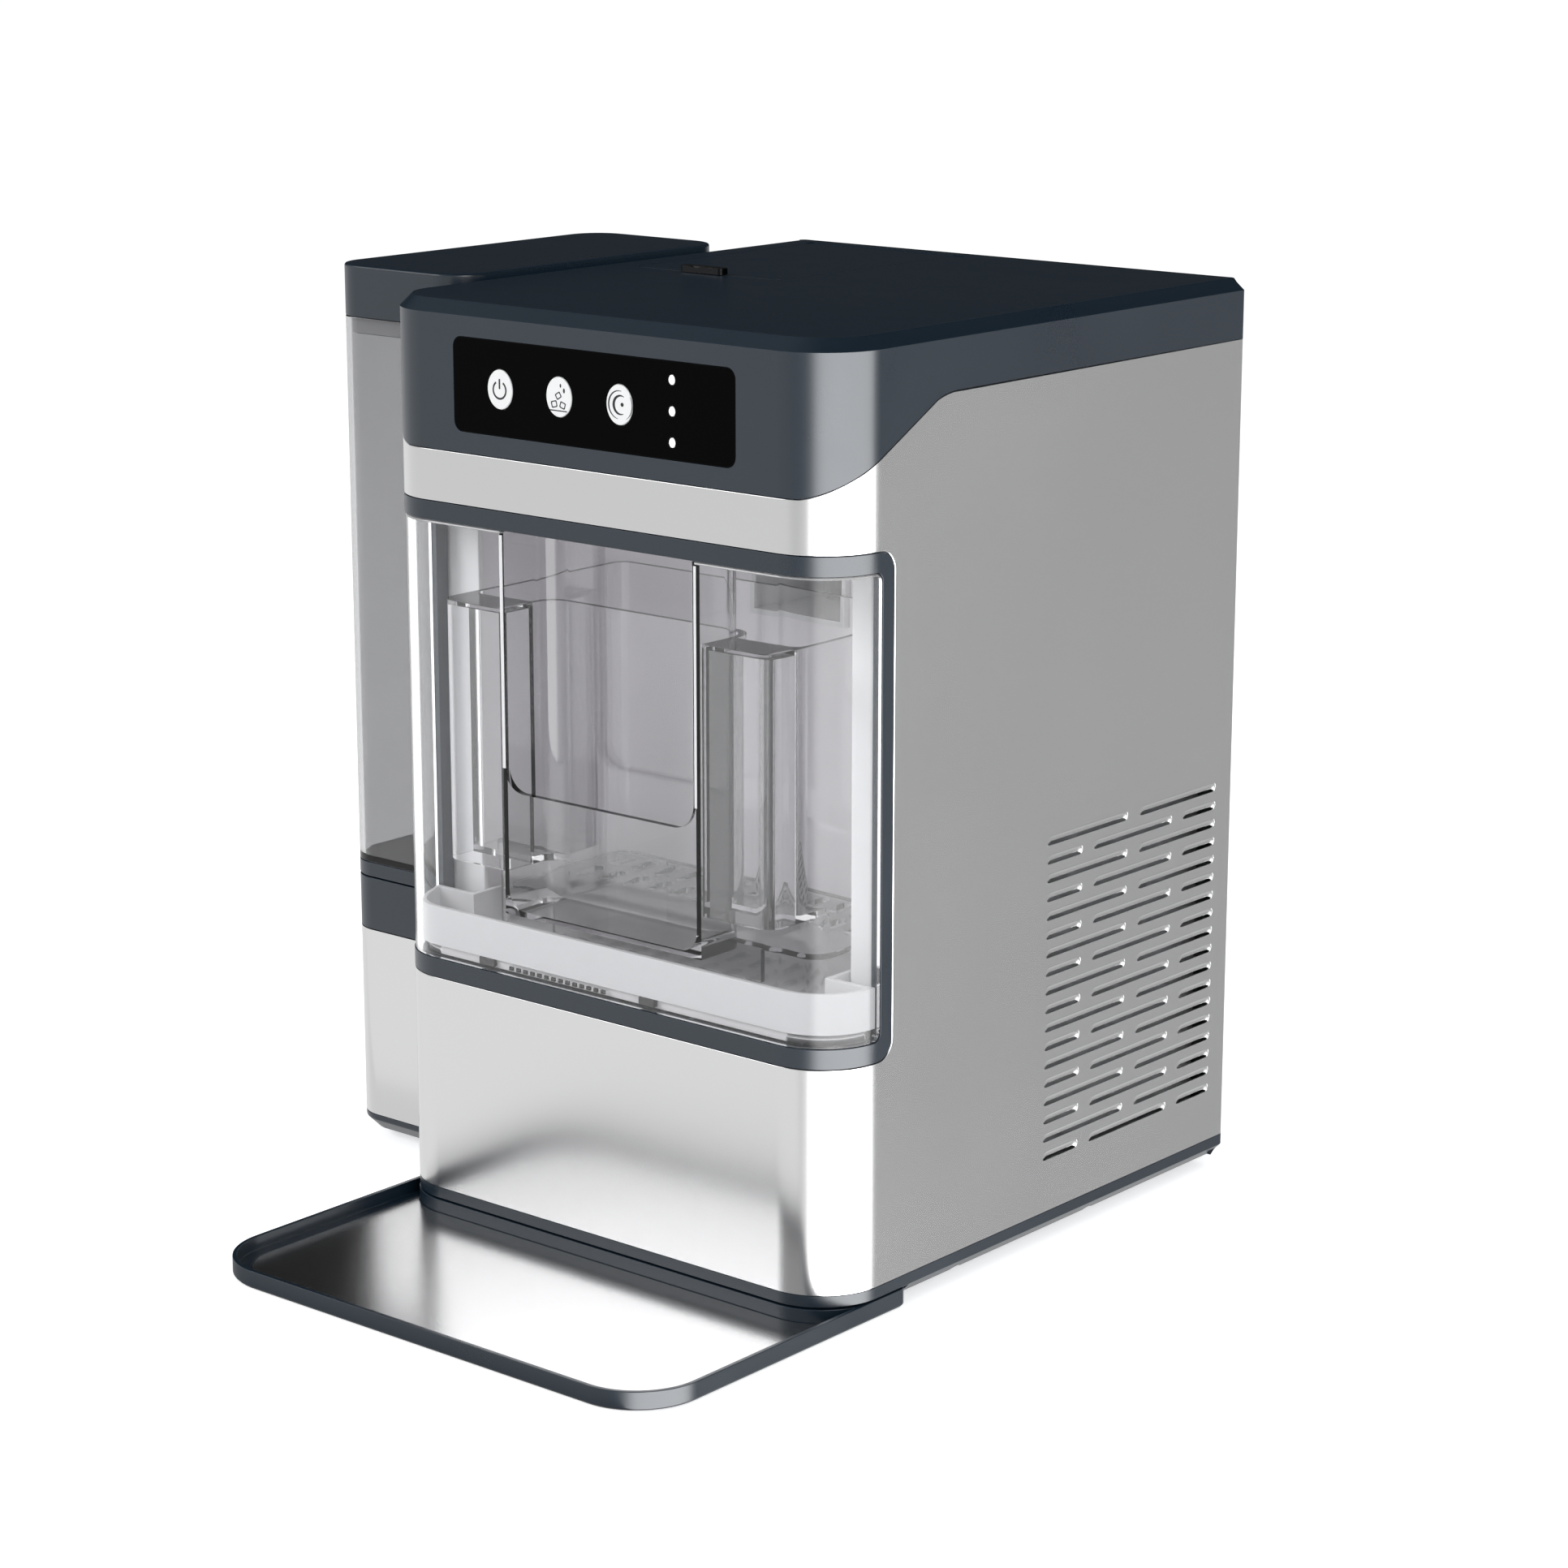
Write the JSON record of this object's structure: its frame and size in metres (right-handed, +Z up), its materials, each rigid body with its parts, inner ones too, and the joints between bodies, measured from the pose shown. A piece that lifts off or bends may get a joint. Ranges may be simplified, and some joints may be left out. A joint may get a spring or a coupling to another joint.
{
  "type": "nugget ice maker",
  "caption": "Countertop nugget ice maker with brushed steel body, dark top and fascia, clear pull-out ice drawer, slide-in drip tray and lift-off side water tank.",
  "frame": {"origin": "on the ground, under the middle of the whole object's outline, tray and tank included", "axes": "+Z up, -Y to the front (drawer and drip tray), +X to the right as seen from the front; the tank is at -X"},
  "size_m": [0.3466, 0.4088, 0.421],
  "materials": {
    "brushed_steel": "fine brushed satin",
    "tray_steel": "satin",
    "dark_plastic": "fine matte",
    "gloss_black": "gloss",
    "black_plastic": "matte",
    "white_plastic": "satin",
    "lens": "frosted",
    "liner": "satin",
    "clear_plastic": "clear, polished",
    "chrome": "polished",
    "aluminium": "satin",
    "enamel": "semi-gloss",
    "rubber": "matte",
    "board": "solder mask"
  },
  "bodies": {
    "machine": {"steel_wrap": "brushed_steel", "rear_panel": "brushed_steel", "power_inlet": "black_plastic", "top_cover": "dark_plastic", "lid_pin": "chrome", "control_panel": "gloss_black", "lens_power": "lens", "lens_water": "lens", "lens_full": "lens", "control_board": "board", "base_pan": "dark_plastic", "foot_front_left": "rubber", "foot_front_right": "rubber", "foot_rear_left": "rubber", "foot_rear_right": "rubber", "drawer_bezel": "dark_plastic", "window_frame": "white_plastic", "cabinet_liner": "liner", "drawer_rail_left": "white_plastic", "drawer_rail_right": "white_plastic", "ice_chute": "white_plastic", "evaporator_barrel": "aluminium", "gearbox": "aluminium", "gear_motor": "enamel", "gearbox_stand": "aluminium", "compressor": "enamel", "condenser": "aluminium", "fan_shroud": "dark_plastic", "reservoir": "white_plastic", "water_pump": "enamel", "drain_cap": "rubber", "feed_pipe": "white_plastic", "tank_dock": "dark_plastic", "pedestal": "brushed_steel", "pedestal_foot": "dark_plastic", "pedestal_pad_front": "rubber", "pedestal_pad_rear": "rubber", "dock_bracket": "dark_plastic", "rear_screw_1": "chrome", "rear_screw_2": "chrome", "rear_screw_3": "chrome", "rear_screw_4": "chrome"},
    "lid": {"top_lid": "dark_plastic", "lid_tab": "chrome"},
    "power_button": {"button_power": "white_plastic"},
    "ice_button": {"button_ice": "white_plastic"},
    "clean_button": {"button_clean": "white_plastic"},
    "drawer": {"drawer_front": "clear_plastic", "ice_bin": "clear_plastic", "bin_grate": "clear_plastic", "drawer_base": "white_plastic"},
    "drip_tray": {"tray_rim": "dark_plastic", "tray_plate": "tray_steel"},
    "tank": {"tank_body": "clear_plastic", "tank_collar": "dark_plastic"},
    "cap": {"tank_cap": "dark_plastic"},
    "valve": {"tank_valve": "rubber"},
    "auger": {"auger": "brushed_steel"},
    "fan": {"condenser_fan": "dark_plastic"}
  },
  "joints": [
    {"name": "drawer_slide", "type": "slide", "parent": "machine", "child": "drawer", "axis": [0, -1, 0], "range_m": [0, 0.11]},
    {"name": "tray_slide", "type": "slide", "parent": "machine", "child": "drip_tray", "axis": [0, -1, 0], "range_m": [0, 0.055]},
    {"name": "tank_lift", "type": "slide", "parent": "machine", "child": "tank", "axis": [0, 0, 1], "range_m": [0, 0.12]},
    {"name": "cap_lift", "type": "slide", "parent": "tank", "child": "cap", "axis": [0, 0, 1], "range_m": [0, 0.06]},
    {"name": "valve_push", "type": "slide", "parent": "tank", "child": "valve", "axis": [0, 0, 1], "range_m": [0, 0.003], "stiffness_N_per_m": 100, "springref_m": -0.002},
    {"name": "lid_hinge", "type": "hinge", "parent": "machine", "child": "lid", "pos_m": [0.04325, 0.1913, 0.4145], "axis": [-1, 0, 0], "range_deg": [0, 95]},
    {"name": "power_press", "type": "slide", "parent": "machine", "child": "power_button", "axis": [0, 1, 0], "range_m": [0, 0.001], "stiffness_N_per_m": 400, "springref_m": -0.0005},
    {"name": "ice_press", "type": "slide", "parent": "machine", "child": "ice_button", "axis": [0, 1, 0], "range_m": [0, 0.001], "stiffness_N_per_m": 400, "springref_m": -0.0005},
    {"name": "clean_press", "type": "slide", "parent": "machine", "child": "clean_button", "axis": [0, 1, 0], "range_m": [0, 0.001], "stiffness_N_per_m": 400, "springref_m": -0.0005},
    {"name": "auger_turn", "type": "hinge", "parent": "machine", "child": "auger", "pos_m": [0.05125, 0.1021, 0.15], "axis": [0, 0, 1], "continuous": true},
    {"name": "fan_turn", "type": "hinge", "parent": "machine", "child": "fan", "pos_m": [0.13535, 0.1241, 0.1008], "axis": [1, 0, 0], "continuous": true}
  ]
}
